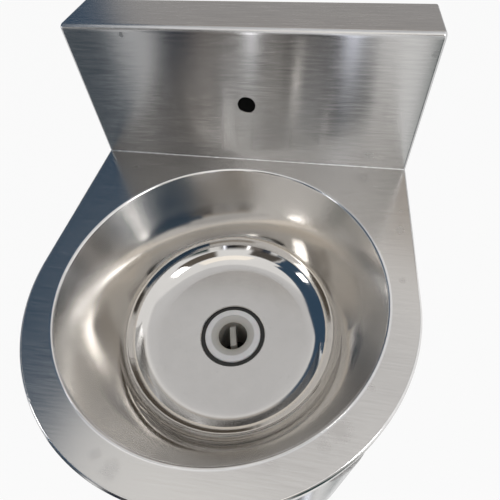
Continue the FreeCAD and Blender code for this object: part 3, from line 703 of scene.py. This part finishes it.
def tentCloth():
    material, place = startCloth("tentCloth")
    across, depth, rise = place.axis(0), place.axis(1), place.axis(2)
    azimuth = across.maths("ARCTAN2", across, depth * -1.0) * math.degrees(1)
    elevation = rise.maths("ARCSINE", rise / tent["radius"]) * math.degrees(1)
    colour, cover = grey(1.0), 0.0
    for card in tentCards:
        middle = (card["low"] + card["high"]) / 2
        reach = (card["high"] - card["low"]) / 2
        turned = azimuth.maths("WRAP", azimuth - card["azimuth"], 180.0, -180.0)
        mask = turned.band(0.0, card["reach"], card["soft"])
        mask = mask * elevation.band(middle, reach, card["fade"])
        colour = mask.tint(colour, (*card["colour"], 1.0))
        cover = mask.maths("MAXIMUM", mask, cover)
    cardOver(colour, cover)
    return material


def makeTent():
    # a dome of air round the sink; the cards are drawn on it by direction
    columns, rows, radius = tent["columns"], tent["rows"], tent["radius"]
    points, faces = [], []
    for row in range(rows + 1):
        rise = math.radians(tent["top"]) * row / rows
        flat = radius * math.cos(rise)
        for column in range(columns):
            turn = 2 * math.pi * column / columns
            points.append((flat * math.sin(turn), -flat * math.cos(turn), radius * math.sin(rise)))
    for row in range(rows):
        for column in range(columns):
            here, there = row * columns + column, row * columns + (column + 1) % columns
            faces.append((here, there, there + columns, here + columns))
    dome = makeShape("tent", points, faces, tentCloth())
    dome.location = tent["centre"]
    showToSteelOnly(dome)


# the card in front of the splashback; stops run along X from left to right
frontCard = {
    "left": -1.45, "right": 1.15, "shift": 0.11,
    "low": -0.82, "high": 0.7, "fade": 0.35,
    "y": -1.1,  # upright there down to the bend, then sloping in as far as nearY
    "bend": -0.35, "nearY": -0.58, "slopeSteps": 8,
    "stops": [
        (-1.45, (0.06, 0.08, 0.10)), (-0.90, (0.06, 0.08, 0.10)), (-0.84, (0.12, 0.14, 0.16)),
        (-0.78, (0.80, 0.80, 0.80)), (-0.69, (0.70, 0.70, 0.70)), (-0.63, (0.0, 0.01, 0.03)),
        (-0.53, (0.0, 0.01, 0.03)), (-0.48, (0.16, 0.14, 0.13)), (-0.31, (0.20, 0.18, 0.16)),
        (-0.285, (4.0, 4.0, 4.1)), (-0.26, (0.20, 0.18, 0.16)), (-0.17, (0.12, 0.11, 0.10)),
        (-0.06, (0.0, 0.0, 0.0)), (0.03, (0.02, 0.02, 0.03)), (0.065, (2.4, 2.5, 2.8)),
        (0.10, (0.25, 0.25, 0.25)), (0.16, (0.90, 0.89, 0.87)), (0.32, (0.95, 0.94, 0.92)),
        (0.375, (0.02, 0.05, 0.05)), (0.60, (0.02, 0.05, 0.05)), (1.15, (0.50, 0.50, 0.48)),
    ],
}


def frontCloth():
    material, place = startCloth("cardCloth")
    left, right, high = frontCard["left"], frontCard["right"], frontCard["high"]
    along = place.node("ShaderNodeUVMap", {"uv_map": "spread"})
    stops = [((x - left) / (right - left), (*shade, 1.0)) for x, shade in frontCard["stops"]]
    colour = place.node("ShaderNodeValToRGB", {"stops": stops}, {0: along.axis(0)})
    cardOver(colour, place.axis(2).ramp(high - frontCard["fade"], high, 1.0, 0.0))
    return material


def makeFrontCard():
    # it gets narrower as it comes nearer, so that the stops keep their directions
    y, low, high, bend = (frontCard[key] for key in ("y", "low", "high", "bend"))
    eyeX = view["place"][0]
    eyeY = 2 * weld["y"] - view["place"][1]  # the camera's place mirrored in the splashback
    levels = [(y, high), (y, bend)]
    for step in range(1, frontCard["slopeSteps"] + 1):
        share = step / frontCard["slopeSteps"]
        levels.append((y + (frontCard["nearY"] - y) * share, bend + (low - bend) * share))
    points, faces, spread = [], [], []
    for row, (depth, level) in enumerate(levels):
        closer = (eyeY - depth) / (eyeY - y)
        for side, x in enumerate((frontCard["left"], frontCard["right"])):
            points.append((frontCard["shift"] + eyeX + (x - eyeX) * closer, depth, level))
            spread.append((side, (level - low) / (high - low)))
        if row:
            faces.append((2 * row, 2 * row + 1, 2 * row - 1, 2 * row - 2))
    card = makeShape("frontCard", points, faces, frontCloth())
    layer = card.data.uv_layers.new(name="spread")
    for loop in card.data.loops:
        layer.data[loop.index].uv = spread[loop.vertex_index]
    showToSteelOnly(card)


# dark sheets that paint the shade behind the spout hole and down the waste's bore, where a wall
# and a trap would be;
# clear from behind
shades = {
    "dark": 0.02,
    "sheets": [
        {
            "name": "wallShade", "middle": (0, -0.0025, 0.055),
            "across": (0.07, 0, 0), "up": (0, 0, 0.045),
        },
        {
            "name": "trapShade", "middle": (0, bowlY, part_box("waste_body")[0].z + 0.004),
            "across": (0.019, 0, 0), "up": (0, 0.019, 0),
        },
    ],
}


def makeShades():
    material, place = startCloth("hollowShade")
    # painted shade: dark from the front, clear from behind
    behind = place.node("ShaderNodeNewGeometry", {}, {}, "Backfacing")
    dark = place.node("ShaderNodeBsdfDiffuse", {}, {"Color": grey(shades["dark"])})
    showMix(behind, dark, place.node("ShaderNodeBsdfTransparent"))
    for sheet in shades["sheets"]:
        middle, across, up = (Vector(sheet[key]) for key in ("middle", "across", "up"))
        near, far = middle - up, middle + up
        corners = [near - across, near + across, far + across, far - across]
        makeShape(sheet["name"], corners, [(0, 1, 2, 3)], material)


room = {
    "fill": 0.75,  # strength of the white surroundings as a lamp
    "floorLevel": -0.85,
    "floorReach": 6.0,
    "floorGlow": 0.85,
    "floorRough": 0.9,
    "floorCloud": 3.0,
    "floorDark": 0.86,
    "floorLight": 0.9,
}


def shownRays(wire):
    # 1 for rays from the camera, from gloss and through glass
    names = ("Is Camera Ray", "Is Glossy Ray", "Is Transmission Ray")
    camera, gloss, glass = (wire.node("ShaderNodeLightPath", {}, {}, name) for name in names)
    return wire.maths("MINIMUM", camera + gloss + glass, 1.0)


def makeRoom():
    world = bpy.data.worlds.new("studio")
    bpy.context.scene.world = world
    world.use_nodes = True
    background = world.node_tree.nodes["Background"]
    background.inputs["Color"].default_value = grey(1.0)
    shown = shownRays(Wire(world.node_tree, background.outputs[0]))
    feed(background, "Strength", shown * (1 - room["fill"]) + room["fill"])


def makeFloor():
    reach, level = room["floorReach"], room["floorLevel"]
    corners = [(x * reach, y * reach, level) for x, y in ((-1, -1), (1, -1), (1, 1), (-1, 1))]
    material, shader, place = startMaterial("paleFloor", {"Roughness": room["floorRough"]})
    cloud = place.noise(room["floorCloud"])
    feed(shader, "Base Color", cloud.tint(grey(room["floorDark"]), grey(room["floorLight"])))
    glow = place.node("ShaderNodeEmission", {}, {"Color": grey(1.0), "Strength": 1.0})
    plain = Wire(place.tree, shader.outputs[0])
    showMix(shownRays(place) * room["floorGlow"], plain, glow)
    makeShape("floor", corners, [(0, 1, 2, 3)], material)


lampAim = (0, -0.258, -0.1)
lamps = [
    {"name": "windowLamp", "place": (1.16, -0.75, 1.5), "size": (0.35, 0.5), "power": 5.0},
    {"name": "leftLamp", "place": (-1.6, -0.8, 1.05), "size": (0.3, 0.4), "power": 2.5},
]


def makeLamps():
    for lamp in lamps:
        data = bpy.data.lights.new(lamp["name"], "AREA")
        data.shape = "RECTANGLE"
        data.size, data.size_y = lamp["size"]
        data.energy = lamp["power"]
        light = addToScene(lamp["name"], data)
        light.location = lamp["place"]
        aim = Vector(lampAim) - light.location
        light.rotation_euler = aim.to_track_quat("-Z", "Y").to_euler()


makeRoom()
makeFloor()
makeTent()
makeFrontCard()
makeShades()
makeLamps()
print("room and lamps set")
